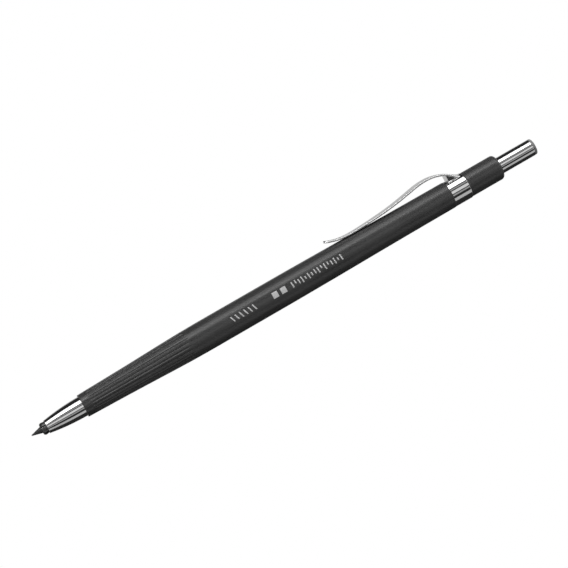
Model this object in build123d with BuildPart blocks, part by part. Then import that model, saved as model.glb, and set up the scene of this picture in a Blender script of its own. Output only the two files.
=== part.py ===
from build123d import *
import os

# A lead holder (clutch pencil) for 2 mm leads, lying along X. The nose points to -X, the push button to +X
# and the pocket clip is on top, towards +Z. The origin is the centre of the nose cone's front opening.
# All sizes are in millimetres. Most pieces are turned: their half profiles are drawn in the XY plane, with
# X along the pencil and Y as the radius, and are revolved about X.

os.makedirs("parts", exist_ok=True)

# ---------------------------------------------------------------- driving dimensions

# Stations along the pencil
NOSE_END = 10.2
BARREL_END = 117.0
BAND_END = 122.2
CAP_END = 132.1
BUTTON_END = 142.9

# Outer radii
NOSE_FRONT_RADIUS = 1.72
NOSE_REAR_RADIUS = 2.6
BARREL_FRONT_RADIUS = 3.0
BARREL_RADIUS = 3.9
BARREL_REAR_RADIUS = 3.55
BAND_RADIUS = 3.48
CAP_RADIUS = 3.35
BUTTON_RADIUS = 2.2

# Fits
FIXED_GAP = 0.02  # radial gap of pieces that are screwed, pressed or glued together
SLIDING_GAP = 0.08  # radial gap of pieces that slide
END_GAP = 0.05  # gap between faces that meet end to end

# Broken edges
FINE_EDGE = 0.1  # chamfers and roundings of the thin metal pieces
EDGE = 0.15  # chamfers and roundings of the plastic and brass pieces

# Lead
LEAD_RADIUS = 1.0
LEAD_LENGTH = 120.0
LEAD_OUT = 4.2  # how far the lead stands out of the nose cone
LEAD_POINT_LENGTH = 3.3
LEAD_TIP_RADIUS = 0.12

# Travel of the push button, which moves the jaws, the collet, the lead tube and the lead
STROKE = 4.5

# Jaws: a wedge-shaped head in the nose cone's seat, and a thin stem back to the collet body
JAW_ANGLES = {"collet_jaw_top": 90, "collet_jaw_left": 210, "collet_jaw_right": 330}
JAW_ARC = 108
JAW_OUT = 1.4
JAW_HEAD_RADIUS = 1.62
JAW_HEAD_END = 1.45
JAW_SLOPE = 0.11
JAW_CHAMFER = 0.4
JAW_FACE_RADIUS = 1.35
JAW_STEM_RADIUS = 1.24
JAW_STEM_START = 2.0
JAW_GRIP_END = 1.0
JAW_GRIP_RADIUS = 1.01
JAW_RELIEF_RADIUS = 1.05
JAW_ROOT = 11.0

# Nose cone: the seat at its mouth, the throat behind it and the spigot that screws into the front bush
SEAT_LENGTH = 1.4
THROAT_RADIUS = 1.38
THROAT_END = 6.5
THROAT_FLARE = 0.5
SPIGOT_RADIUS = 2.1
SPIGOT_END = 16.4
THREAD_RELIEF = 0.15

# Collet body and lead tube
COLLET_CONE_LENGTH = 1.0
COLLET_BORE_RADIUS = 1.08
COLLET_SHOULDER = 16.0
COLLET_STUB_END = 21.0
TUBE_RADIUS = 1.6
TUBE_BORE_RADIUS = 1.35
TUBE_END = 134.8

# Front bush, spring washer, spring and spring collar
BUSH_RADIUS = 2.48
BUSH_END = 18.0
BUSH_WALL = 1.4
WASHER_RADIUS = 2.25
WASHER_THICKNESS = 0.4
SPRING_RADIUS = 1.92
SPRING_WIRE_RADIUS = 0.18
SPRING_LENGTH = 16.0
SPRING_TURNS = 10
COLLAR_RADIUS = 2.15
COLLAR_LENGTH = 2.5

# Barrel: swelling grip zone with lengthwise grooves, parallel middle and tapering rear
GRIP_MIDDLE = 24.0
GRIP_MIDDLE_RADIUS = 3.34
GRIP_START_SLOPE = 0.024
BELLY_START = 46.0
BELLY_END = 68.0
TAPER_MIDDLE = 95.0
TAPER_MIDDLE_RADIUS = 3.68
TAPER_END_SLOPE = -0.003
BARREL_BORE_RADIUS = 2.3
GROOVE_COUNT = 24
GROOVE_START = 12.2
GROOVE_END = 40.0
GROOVE_RADIUS = 0.28
GROOVE_DEPTH = 0.16
GROOVE_RUN_OUT = 1.2
CUTTER_LIFT_SLOPE = 0.2

# Rear bush: a spigot in the barrel, a flange inside the band and a spigot inside the cap
REAR_BUSH_START = 109.0
REAR_BUSH_RADIUS = 2.68
REAR_BUSH_END = 130.0
FLANGE_RADIUS = 3.05
CAP_SPIGOT_RADIUS = 2.6
GUIDE_STOP = 116.0
BUTTON_STOP = 122.0
BUSH_WAIST_RADIUS = 1.9
GUIDE_START = 110.0

# Clip: a thin strip that rises from the barrel to a hump, and drops onto the band behind it. The points are
# (x, z) at the middle of its thickness.
CLIP_THICKNESS = 0.5
CLIP_TIP = (82.7, 5.4)
CLIP_KNEE = (87.8, 4.1)
CLIP_REST = (92.5, 4.07)
CLIP_RISE = (106.0, 5.32)
CLIP_HUMP = (114.4, 6.2)
CLIP_PIVOT = (119.4, 4.33)
CLIP_PIVOT_RADIUS = 0.26
CLIP_WIDTH = 4.2
CLIP_TIP_WIDTH = 2.6
SADDLE_WIDTH = 3.9
SADDLE_START = 118.7
SADDLE_FLOOR = 2.6

# Cap
CAP_ROUNDING = 0.9

# Push button with its lead sharpener
BUTTON_START = 126.6
BUTTON_WALL = 0.3
GRIP_SLEEVE_LENGTH = 7.5
GRIP_SLEEVE_SETBACK = 0.4
POINTER_START = 135.2
POINTER_END = 141.2
POINTER_MOUTH_RADIUS = 1.08
POINTER_CONE_END = 140.4
POINTER_CONE_END_RADIUS = 0.2
BLADE_COUNT = 3
BLADE_THICKNESS = 0.26
BLADE_START = 136.0
BLADE_END = 139.8
BLADE_RADIUS = 1.6
BLADE_STAND = 0.03
PLUG_HEAD = 0.9
PLUG_RADIUS = 2.16
PLUG_DOME = 0.25
PLUG_ROUNDING = 0.35

# ---------------------------------------------------------------- lead

with BuildPart() as lead:
    with BuildSketch(Plane.XY):
        with BuildLine():
            Polyline(
                (-LEAD_OUT, 0),
                (-LEAD_OUT, LEAD_TIP_RADIUS),
                (-LEAD_OUT + LEAD_POINT_LENGTH, LEAD_RADIUS),
                (-LEAD_OUT + LEAD_LENGTH, LEAD_RADIUS),
                (-LEAD_OUT + LEAD_LENGTH, 0),
                close=True,
            )
        make_face()
    revolve(axis=Axis.X)
    fillet(lead.faces().sort_by(Axis.X)[0].edges(), LEAD_TIP_RADIUS / 2)
    chamfer(lead.faces().sort_by(Axis.X)[-1].edges(), FINE_EDGE)

lead.part.label = "lead"
export_step(lead.part, "parts/lead.step")

# ---------------------------------------------------------------- collet jaws

# The three jaws are alike. Each takes up an arc of the circle, centred on its own angle about X.
for label, angle in JAW_ANGLES.items():
    with BuildPart() as collet_jaw:
        with BuildSketch(Plane.XY.rotated((angle - JAW_ARC / 2, 0, 0))):
            with BuildLine():
                Polyline(
                    (-JAW_OUT, JAW_GRIP_RADIUS),
                    (-JAW_OUT, JAW_FACE_RADIUS),
                    (-JAW_OUT + JAW_CHAMFER, JAW_HEAD_RADIUS),
                    (JAW_HEAD_END, JAW_HEAD_RADIUS - JAW_SLOPE * (JAW_HEAD_END + JAW_OUT - JAW_CHAMFER)),
                    (JAW_STEM_START, JAW_STEM_RADIUS),
                    (JAW_ROOT - END_GAP, JAW_STEM_RADIUS),
                    (JAW_ROOT - END_GAP, JAW_RELIEF_RADIUS),
                    (JAW_GRIP_END, JAW_RELIEF_RADIUS),
                    (JAW_GRIP_END, JAW_GRIP_RADIUS),
                    close=True,
                )
            make_face()
        revolve(axis=Axis.X, revolution_arc=JAW_ARC)

    collet_jaw.part.label = label
    export_step(collet_jaw.part, f"parts/{label}.step")

# ---------------------------------------------------------------- collet body

with BuildPart() as collet_body:
    with BuildSketch(Plane.XY):
        with BuildLine():
            Polyline(
                (JAW_ROOT, COLLET_BORE_RADIUS),
                (JAW_ROOT, JAW_STEM_RADIUS),
                (JAW_ROOT + COLLET_CONE_LENGTH, TUBE_RADIUS),
                (COLLET_SHOULDER, TUBE_RADIUS),
                (COLLET_SHOULDER, TUBE_BORE_RADIUS - FIXED_GAP),
                (COLLET_STUB_END, TUBE_BORE_RADIUS - FIXED_GAP),
                (COLLET_STUB_END, COLLET_BORE_RADIUS),
                close=True,
            )
        make_face()
    revolve(axis=Axis.X)

collet_body.part.label = "collet_body"
export_step(collet_body.part, "parts/collet_body.step")

# ---------------------------------------------------------------- lead tube

with BuildPart() as lead_tube:
    with BuildSketch(Plane.YZ.offset(COLLET_SHOULDER + FIXED_GAP)):
        Circle(TUBE_RADIUS)
        Circle(TUBE_BORE_RADIUS, mode=Mode.SUBTRACT)
    extrude(amount=TUBE_END - COLLET_SHOULDER - FIXED_GAP)
    chamfer(lead_tube.edges().group_by(Axis.X)[-1], FINE_EDGE)

lead_tube.part.label = "lead_tube"
export_step(lead_tube.part, "parts/lead_tube.step")

# ---------------------------------------------------------------- nose cone

# The outside is an arc that leaves the barrel parallel to X. The seat has the same slope as the jaws.
with BuildPart() as nose_cone:
    with BuildSketch(Plane.XY):
        with BuildLine():
            TangentArc(
                (NOSE_END - END_GAP, NOSE_REAR_RADIUS),
                (0, NOSE_FRONT_RADIUS),
                tangent=(-1, 0),
            )
            Polyline(
                (0, NOSE_FRONT_RADIUS),
                (0, THROAT_RADIUS + JAW_SLOPE * SEAT_LENGTH),
                (SEAT_LENGTH, THROAT_RADIUS),
                (THROAT_END, THROAT_RADIUS),
                (THROAT_END + THROAT_FLARE, TUBE_RADIUS + SLIDING_GAP),
                (SPIGOT_END, TUBE_RADIUS + SLIDING_GAP),
                (SPIGOT_END, SPIGOT_RADIUS - THREAD_RELIEF),
                (SPIGOT_END - THREAD_RELIEF, SPIGOT_RADIUS),
                (NOSE_END + 4 * THREAD_RELIEF, SPIGOT_RADIUS),
                (NOSE_END + 3 * THREAD_RELIEF, SPIGOT_RADIUS - THREAD_RELIEF),
                (NOSE_END - END_GAP, SPIGOT_RADIUS - THREAD_RELIEF),
                (NOSE_END - END_GAP, NOSE_REAR_RADIUS),
            )
        make_face()
    revolve(axis=Axis.X)
    front_rim = nose_cone.edges().group_by(Axis.X)[0].sort_by(SortBy.RADIUS)[-1]
    fillet(front_rim, FINE_EDGE)

nose_cone.part.label = "nose_cone"
export_step(nose_cone.part, "parts/nose_cone.step")

# ---------------------------------------------------------------- front bush

with BuildPart() as front_bush:
    with BuildSketch(Plane.XY):
        with BuildLine():
            Polyline(
                (NOSE_END + END_GAP, SPIGOT_RADIUS + FIXED_GAP),
                (NOSE_END + END_GAP, BUSH_RADIUS),
                (BUSH_END, BUSH_RADIUS),
                (BUSH_END, TUBE_RADIUS + SLIDING_GAP),
                (BUSH_END - BUSH_WALL, TUBE_RADIUS + SLIDING_GAP),
                (BUSH_END - BUSH_WALL, SPIGOT_RADIUS + FIXED_GAP),
                close=True,
            )
        make_face()
    revolve(axis=Axis.X)

front_bush.part.label = "front_bush"
export_step(front_bush.part, "parts/front_bush.step")

# ---------------------------------------------------------------- spring washer

WASHER_START = BUSH_END + 2 * END_GAP

with BuildPart() as spring_washer:
    with BuildSketch(Plane.YZ.offset(WASHER_START)):
        Circle(WASHER_RADIUS)
        Circle(TUBE_RADIUS + SLIDING_GAP, mode=Mode.SUBTRACT)
    extrude(amount=WASHER_THICKNESS)
    chamfer(spring_washer.edges().filter_by(GeomType.CIRCLE).group_by(SortBy.RADIUS)[-1], FINE_EDGE)

spring_washer.part.label = "spring_washer"
export_step(spring_washer.part, "parts/spring_washer.step")

# ---------------------------------------------------------------- return spring

SPRING_START = WASHER_START + WASHER_THICKNESS + 2 * END_GAP
SPRING_PITCH = SPRING_LENGTH / SPRING_TURNS

# The coil runs past both ends, which are then cut flat, like ground spring ends.
with BuildPart() as return_spring:
    with BuildLine():
        coil = Helix(
            pitch=SPRING_PITCH,
            height=SPRING_LENGTH + 2 * SPRING_WIRE_RADIUS,
            radius=SPRING_RADIUS,
            center=(SPRING_START - SPRING_WIRE_RADIUS, 0, 0),
            direction=(1, 0, 0),
        )
    with BuildSketch(Plane(origin=coil @ 0, z_dir=coil % 0)):
        Circle(SPRING_WIRE_RADIUS)
    sweep(path=coil, is_frenet=True)
    split(bisect_by=Plane.YZ.offset(SPRING_START), keep=Keep.TOP)
    split(bisect_by=Plane.YZ.offset(SPRING_START + SPRING_LENGTH), keep=Keep.BOTTOM)

return_spring.part.label = "return_spring"
export_step(return_spring.part, "parts/return_spring.step")

# ---------------------------------------------------------------- spring collar

COLLAR_START = SPRING_START + SPRING_LENGTH + 2 * END_GAP

with BuildPart() as spring_collar:
    with BuildSketch(Plane.YZ.offset(COLLAR_START)):
        Circle(COLLAR_RADIUS)
        Circle(TUBE_RADIUS + FIXED_GAP, mode=Mode.SUBTRACT)
    extrude(amount=COLLAR_LENGTH)
    chamfer(spring_collar.edges().filter_by(GeomType.CIRCLE).group_by(SortBy.RADIUS)[-1], EDGE)

spring_collar.part.label = "spring_collar"
export_step(spring_collar.part, "parts/spring_collar.step")

# ---------------------------------------------------------------- barrel

with BuildLine() as grip_line:
    grip_curve = Spline(
        (NOSE_END, BARREL_FRONT_RADIUS),
        (GRIP_MIDDLE, GRIP_MIDDLE_RADIUS),
        (BELLY_START, BARREL_RADIUS),
        tangents=((1, GRIP_START_SLOPE), (1, 0)),
    )


def grip_parameter(station):
    """Where a station lies on the grip curve, whose parameter runs evenly along X."""
    return (station - NOSE_END) / (BELLY_START - NOSE_END)


def above_grip(station, height):
    """A point at a height above the grip zone's surface."""
    surface = grip_curve @ grip_parameter(station)
    return (surface.X, surface.Y + height)


def grip_tangent(station):
    """The direction of the grip zone's surface."""
    return grip_curve % grip_parameter(station)


# One grip groove, as the round cutter that makes it: it runs at groove depth along the swelling surface and
# lifts clear of it at both ends.
cutting_height = GROOVE_RADIUS - GROOVE_DEPTH
clear_height = GROOVE_RADIUS + GROOVE_DEPTH / 2
groove_middle = (GROOVE_START + GROOVE_END) / 2

with BuildPart() as groove_cutter:
    with BuildLine():
        cutter_path = Spline(
            above_grip(GROOVE_START - GROOVE_RUN_OUT / 2, clear_height),
            above_grip(GROOVE_START + GROOVE_RUN_OUT, cutting_height),
            above_grip(groove_middle, cutting_height),
            above_grip(GROOVE_END - 2 * GROOVE_RUN_OUT, cutting_height),
            above_grip(GROOVE_END + GROOVE_RUN_OUT, clear_height),
            tangents=(
                (1, -CUTTER_LIFT_SLOPE),
                grip_tangent(GROOVE_START + GROOVE_RUN_OUT),
                grip_tangent(groove_middle),
                grip_tangent(GROOVE_END - 2 * GROOVE_RUN_OUT),
                (1, CUTTER_LIFT_SLOPE),
            ),
        )
    with BuildSketch(Plane(origin=cutter_path @ 0, z_dir=cutter_path % 0)):
        Circle(GROOVE_RADIUS)
    sweep(path=cutter_path)

with BuildPart() as barrel:
    with BuildSketch(Plane.XY):
        with BuildLine():
            add(grip_curve)
            Line((BELLY_START, BARREL_RADIUS), (BELLY_END, BARREL_RADIUS))
            Spline(
                (BELLY_END, BARREL_RADIUS),
                (TAPER_MIDDLE, TAPER_MIDDLE_RADIUS),
                (BARREL_END, BARREL_REAR_RADIUS),
                tangents=((1, 0), (1, TAPER_END_SLOPE)),
            )
            Polyline(
                (BARREL_END, BARREL_REAR_RADIUS),
                (BARREL_END, REAR_BUSH_RADIUS + FIXED_GAP),
                (REAR_BUSH_START - END_GAP, REAR_BUSH_RADIUS + FIXED_GAP),
                (REAR_BUSH_START - END_GAP, BARREL_BORE_RADIUS),
                (BUSH_END + END_GAP, BARREL_BORE_RADIUS),
                (BUSH_END + END_GAP, BUSH_RADIUS + FIXED_GAP),
                (NOSE_END, BUSH_RADIUS + FIXED_GAP),
                (NOSE_END, BARREL_FRONT_RADIUS),
            )
        make_face()
    revolve(axis=Axis.X)
    front_rim = barrel.edges().group_by(Axis.X)[0].sort_by(SortBy.RADIUS)[-1]
    rear_rim = barrel.edges().group_by(Axis.X)[-1].sort_by(SortBy.RADIUS)[-1]
    fillet([front_rim, rear_rim], EDGE)
    for index in range(GROOVE_COUNT):
        cutter = groove_cutter.part.rotate(Axis.X, index * 360 / GROOVE_COUNT)
        add(cutter, mode=Mode.SUBTRACT)

barrel.part.label = "barrel"
export_step(barrel.part, "parts/barrel.step")

# ---------------------------------------------------------------- rear bush

with BuildPart() as rear_bush:
    with BuildSketch(Plane.XY):
        with BuildLine():
            Polyline(
                (REAR_BUSH_START, BARREL_BORE_RADIUS),
                (REAR_BUSH_START, REAR_BUSH_RADIUS),
                (BARREL_END + END_GAP, REAR_BUSH_RADIUS),
                (BARREL_END + END_GAP, FLANGE_RADIUS),
                (BAND_END - END_GAP, FLANGE_RADIUS),
                (BAND_END - END_GAP, CAP_SPIGOT_RADIUS),
                (REAR_BUSH_END, CAP_SPIGOT_RADIUS),
                (REAR_BUSH_END, BUTTON_RADIUS + SLIDING_GAP),
                (BUTTON_STOP, BUTTON_RADIUS + SLIDING_GAP),
                (BUTTON_STOP, BUSH_WAIST_RADIUS),
                (GUIDE_STOP, BUSH_WAIST_RADIUS),
                (GUIDE_STOP, BARREL_BORE_RADIUS),
                close=True,
            )
        make_face()
    revolve(axis=Axis.X)

rear_bush.part.label = "rear_bush"
export_step(rear_bush.part, "parts/rear_bush.step")

# ---------------------------------------------------------------- tube guide

with BuildPart() as tube_guide:
    with BuildSketch(Plane.YZ.offset(GUIDE_START)):
        Circle(BARREL_BORE_RADIUS - FIXED_GAP)
        Circle(TUBE_RADIUS + SLIDING_GAP, mode=Mode.SUBTRACT)
    extrude(amount=GUIDE_STOP - END_GAP - GUIDE_START)
    chamfer(tube_guide.edges().filter_by(GeomType.CIRCLE).group_by(SortBy.RADIUS)[-1], EDGE)

tube_guide.part.label = "tube_guide"
export_step(tube_guide.part, "parts/tube_guide.step")

# ---------------------------------------------------------------- clip band

# A ring round the rear bush's flange, with a saddle on top in which the root of the clip arm turns.
with BuildPart() as clip_band:
    with BuildSketch(Plane.YZ.offset(BARREL_END + END_GAP)):
        Circle(BAND_RADIUS)
    extrude(amount=BAND_END - BARREL_END - 2 * END_GAP)
    chamfer(clip_band.edges(), FINE_EDGE)
    with BuildSketch(Plane.XZ):
        with BuildLine():
            Polyline(
                (SADDLE_START, SADDLE_FLOOR),
                (SADDLE_START, CLIP_PIVOT[1] - CLIP_PIVOT_RADIUS),
                (CLIP_PIVOT[0], CLIP_PIVOT[1]),
                (CLIP_PIVOT[0] + CLIP_PIVOT_RADIUS, CLIP_PIVOT[1] + CLIP_PIVOT_RADIUS),
                (BAND_END - 3 * END_GAP, BAND_RADIUS),
                (BAND_END - 3 * END_GAP, SADDLE_FLOOR),
                close=True,
            )
        make_face()
        with Locations(CLIP_PIVOT):
            Circle(CLIP_PIVOT_RADIUS + END_GAP, mode=Mode.SUBTRACT)
    extrude(amount=SADDLE_WIDTH / 2, both=True)
    with BuildSketch(Plane.YZ.offset(BARREL_END)):
        Circle(FLANGE_RADIUS + FIXED_GAP)
    extrude(amount=BAND_END - BARREL_END, mode=Mode.SUBTRACT)

clip_band.part.label = "clip_band"
export_step(clip_band.part, "parts/clip_band.step")

# ---------------------------------------------------------------- clip arm

# The strip's side view follows a curve at mid-thickness; its plan is then cut to a taper with a round tip.
with BuildPart() as clip_arm:
    with BuildSketch(Plane.XZ):
        with BuildLine():
            strip = Spline(CLIP_TIP, CLIP_KNEE, CLIP_REST, CLIP_RISE, CLIP_HUMP, CLIP_PIVOT)
        trace(strip, line_width=CLIP_THICKNESS)
        with Locations(CLIP_PIVOT):
            Circle(CLIP_PIVOT_RADIUS)
    extrude(amount=CLIP_WIDTH / 2, both=True)
    with BuildSketch(Plane.XY):
        with BuildLine():
            Polyline(
                (CLIP_TIP[0], CLIP_TIP_WIDTH / 2),
                (CLIP_HUMP[0], CLIP_WIDTH / 2),
                (CLIP_PIVOT[0] + 1, SADDLE_WIDTH / 2),
                (CLIP_PIVOT[0] + 1, -SADDLE_WIDTH / 2),
                (CLIP_HUMP[0], -CLIP_WIDTH / 2),
                (CLIP_TIP[0], -CLIP_TIP_WIDTH / 2),
            )
            ThreePointArc(
                (CLIP_TIP[0], -CLIP_TIP_WIDTH / 2),
                (CLIP_TIP[0] - CLIP_THICKNESS / 2, 0),
                (CLIP_TIP[0], CLIP_TIP_WIDTH / 2),
            )
        make_face()
    extrude(amount=2 * BARREL_RADIUS, mode=Mode.INTERSECT)

clip_arm.part.label = "clip_arm"
export_step(clip_arm.part, "parts/clip_arm.step")

# ---------------------------------------------------------------- end cap

with BuildPart() as end_cap:
    with BuildSketch(Plane.XY):
        with BuildLine():
            Polyline(
                (BAND_END + END_GAP, CAP_SPIGOT_RADIUS + FIXED_GAP),
                (BAND_END + END_GAP, CAP_RADIUS),
                (CAP_END, CAP_RADIUS),
                (CAP_END, BUTTON_RADIUS + SLIDING_GAP),
                (REAR_BUSH_END + 4 * END_GAP, BUTTON_RADIUS + SLIDING_GAP),
                (REAR_BUSH_END + 4 * END_GAP, CAP_SPIGOT_RADIUS + FIXED_GAP),
                close=True,
            )
        make_face()
    revolve(axis=Axis.X)
    chamfer(end_cap.edges().group_by(Axis.X)[0].sort_by(SortBy.RADIUS)[-1], EDGE)
    fillet(end_cap.edges().group_by(Axis.X)[-1].sort_by(SortBy.RADIUS)[-1], CAP_ROUNDING)

end_cap.part.label = "end_cap"
export_step(end_cap.part, "parts/end_cap.step")

# ---------------------------------------------------------------- push button

BUTTON_BORE_RADIUS = BUTTON_RADIUS - BUTTON_WALL
INSERT_RADIUS = BUTTON_BORE_RADIUS - FIXED_GAP
SHELL_END = BUTTON_END - PLUG_HEAD

with BuildPart() as button_shell:
    with BuildSketch(Plane.YZ.offset(BUTTON_START)):
        Circle(BUTTON_RADIUS)
        Circle(BUTTON_BORE_RADIUS, mode=Mode.SUBTRACT)
    extrude(amount=SHELL_END - BUTTON_START)
    fillet(button_shell.edges().filter_by(GeomType.CIRCLE).group_by(SortBy.RADIUS)[-1], FINE_EDGE)

button_shell.part.label = "button_shell"
export_step(button_shell.part, "parts/button_shell.step")

with BuildPart() as button_grip:
    with BuildSketch(Plane.YZ.offset(BUTTON_START + GRIP_SLEEVE_SETBACK)):
        Circle(INSERT_RADIUS)
        Circle(TUBE_RADIUS + FIXED_GAP, mode=Mode.SUBTRACT)
    extrude(amount=GRIP_SLEEVE_LENGTH)
    chamfer(button_grip.edges().filter_by(GeomType.CIRCLE).group_by(SortBy.RADIUS)[0], FINE_EDGE)

button_grip.part.label = "button_grip"
export_step(button_grip.part, "parts/button_grip.step")

# The sharpener's conical hole is slotted for its blades, whose inner edges stand just inside the cone.
pointer_slope = (POINTER_MOUTH_RADIUS - POINTER_CONE_END_RADIUS) / (POINTER_CONE_END - POINTER_START)
blade_front_radius = POINTER_MOUTH_RADIUS - pointer_slope * (BLADE_START - POINTER_START) - BLADE_STAND
blade_rear_radius = POINTER_MOUTH_RADIUS - pointer_slope * (BLADE_END - POINTER_START) - BLADE_STAND

with BuildPart() as lead_pointer:
    with BuildSketch(Plane.XY):
        with BuildLine():
            Polyline(
                (POINTER_START, POINTER_MOUTH_RADIUS),
                (POINTER_START, INSERT_RADIUS),
                (POINTER_END, INSERT_RADIUS),
                (POINTER_END, 0),
                (POINTER_CONE_END, 0),
                (POINTER_CONE_END, POINTER_CONE_END_RADIUS),
                close=True,
            )
        make_face()
    revolve(axis=Axis.X)
    for index in range(BLADE_COUNT):
        with BuildSketch(Plane.XY.rotated((index * 360 / BLADE_COUNT, 0, 0))):
            with Locations(((BLADE_START + BLADE_END) / 2, (BLADE_RADIUS + FIXED_GAP) / 2)):
                Rectangle(BLADE_END - BLADE_START + 2 * FIXED_GAP, BLADE_RADIUS + FIXED_GAP)
        extrude(amount=BLADE_THICKNESS / 2 + FIXED_GAP, both=True, mode=Mode.SUBTRACT)

lead_pointer.part.label = "lead_pointer"
export_step(lead_pointer.part, "parts/lead_pointer.step")

with BuildPart() as pointer_blades:
    for index in range(BLADE_COUNT):
        with BuildSketch(Plane.XY.rotated((index * 360 / BLADE_COUNT, 0, 0))):
            with BuildLine():
                Polyline(
                    (BLADE_START, blade_front_radius),
                    (BLADE_START, BLADE_RADIUS),
                    (BLADE_END, BLADE_RADIUS),
                    (BLADE_END, blade_rear_radius),
                    close=True,
                )
            make_face()
        extrude(amount=BLADE_THICKNESS / 2, both=True)

pointer_blades.part.label = "pointer_blades"
export_step(pointer_blades.part, "parts/pointer_blades.step")

with BuildPart() as button_plug:
    with BuildSketch(Plane.XY) as plug_profile:
        with BuildLine():
            Polyline(
                (POINTER_END + 2 * END_GAP, 0),
                (POINTER_END + 2 * END_GAP, INSERT_RADIUS),
                (SHELL_END + END_GAP, INSERT_RADIUS),
                (SHELL_END + END_GAP, PLUG_RADIUS),
                (BUTTON_END - PLUG_DOME, PLUG_RADIUS),
            )
            TangentArc((BUTTON_END, 0), (BUTTON_END - PLUG_DOME, PLUG_RADIUS), tangent=(0, 1))
            Line((BUTTON_END, 0), (POINTER_END + 2 * END_GAP, 0))
        make_face()
        fillet(plug_profile.vertices().group_by(Axis.Y)[-1].sort_by(Axis.X)[-1], PLUG_ROUNDING)
    revolve(axis=Axis.X)

button_plug.part.label = "button_plug"
export_step(button_plug.part, "parts/button_plug.step")
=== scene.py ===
from math import acos, atan2, copysign, cos, exp, log, pi, radians, sin, sqrt, tan, tau

import bmesh
import bpy
from mathutils import Matrix, Vector
from mathutils.bvhtree import BVHTree


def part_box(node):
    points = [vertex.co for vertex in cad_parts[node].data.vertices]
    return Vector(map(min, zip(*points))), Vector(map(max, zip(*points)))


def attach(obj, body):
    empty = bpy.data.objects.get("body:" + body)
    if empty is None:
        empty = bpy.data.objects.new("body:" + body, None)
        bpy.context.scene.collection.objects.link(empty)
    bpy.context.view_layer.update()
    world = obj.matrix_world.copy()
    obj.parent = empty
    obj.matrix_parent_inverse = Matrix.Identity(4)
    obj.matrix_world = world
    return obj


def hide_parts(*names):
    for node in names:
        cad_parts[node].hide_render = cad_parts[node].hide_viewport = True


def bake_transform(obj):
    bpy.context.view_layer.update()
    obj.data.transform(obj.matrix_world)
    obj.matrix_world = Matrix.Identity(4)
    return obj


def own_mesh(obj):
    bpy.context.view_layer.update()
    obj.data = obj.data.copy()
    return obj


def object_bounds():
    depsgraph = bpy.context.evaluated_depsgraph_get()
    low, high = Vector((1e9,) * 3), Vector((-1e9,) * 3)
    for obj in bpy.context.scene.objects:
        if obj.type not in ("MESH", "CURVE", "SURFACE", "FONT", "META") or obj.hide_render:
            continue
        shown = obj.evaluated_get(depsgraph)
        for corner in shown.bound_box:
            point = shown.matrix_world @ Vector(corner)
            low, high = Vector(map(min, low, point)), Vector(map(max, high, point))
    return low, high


# A lead holder (clutch pencil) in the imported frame: nose to -X, push button to +X, clip on top towards +Z.
# Shapes are worked out in millimetres and stored in metres. Angles about X are measured from +Y towards +Z.

MM = 0.001

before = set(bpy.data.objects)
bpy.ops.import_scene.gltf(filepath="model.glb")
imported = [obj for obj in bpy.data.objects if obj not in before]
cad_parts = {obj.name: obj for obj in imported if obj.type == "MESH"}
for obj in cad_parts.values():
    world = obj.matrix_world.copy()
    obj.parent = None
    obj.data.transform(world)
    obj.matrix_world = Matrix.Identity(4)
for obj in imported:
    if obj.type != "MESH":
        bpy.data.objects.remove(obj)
cad_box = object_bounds()


# ---------------------------------------------------------------- measuring the frame

def span(node):
    """Where a CAD node starts and ends along X, in millimetres."""
    low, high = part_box(node)
    return low.x / MM, high.x / MM


def outer_radius(node):
    """The largest radius of a turned CAD node, in millimetres."""
    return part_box(node)[1].y / MM


class Gauge:
    """Measures the outside of a CAD node with rays cast at the pencil's axis."""

    FAR = 20

    def __init__(self, node):
        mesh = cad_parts[node].data
        self.tree = BVHTree.FromPolygons(
            [vertex.co for vertex in mesh.vertices], [face.vertices for face in mesh.polygons]
        )

    def radius(self, x, angle):
        outwards = Vector((0, cos(angle), sin(angle)))
        foot = Vector((x * MM, 0, 0))
        hit = self.tree.ray_cast(foot + outwards * self.FAR * MM, -outwards)[0]
        return (hit - foot).length / MM


# ---------------------------------------------------------------- curves and outlines

def hermite(points, slopes, x):
    """The smooth curve through (x, y) points with the given slopes, at x."""
    index = 0
    while index < len(points) - 2 and x > points[index + 1][0]:
        index += 1
    (x0, y0), (x1, y1) = points[index], points[index + 1]
    length = x1 - x0
    t = min(1, max(0, (x - x0) / length))
    return (
        (1 + 2 * t) * (1 - t) ** 2 * y0
        + t * (1 - t) ** 2 * slopes[index] * length
        + t * t * (3 - 2 * t) * y1
        - t * t * (1 - t) * slopes[index + 1] * length
    )


def curve(points):
    """A function y(x) that runs smoothly through the points."""
    slopes = []
    for index, (x, y) in enumerate(points):
        x0, y0 = points[max(0, index - 1)]
        x1, y1 = points[min(len(points) - 1, index + 1)]
        slopes.append((y1 - y0) / (x1 - x0))
    return lambda x: hermite(points, slopes, x)


def steps(start, end, count):
    """count + 1 even steps from start to end."""
    return [start + (end - start) * index / count for index in range(count + 1)]


ARC_STEPS = 5
SUPPORT = 0.05


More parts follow.
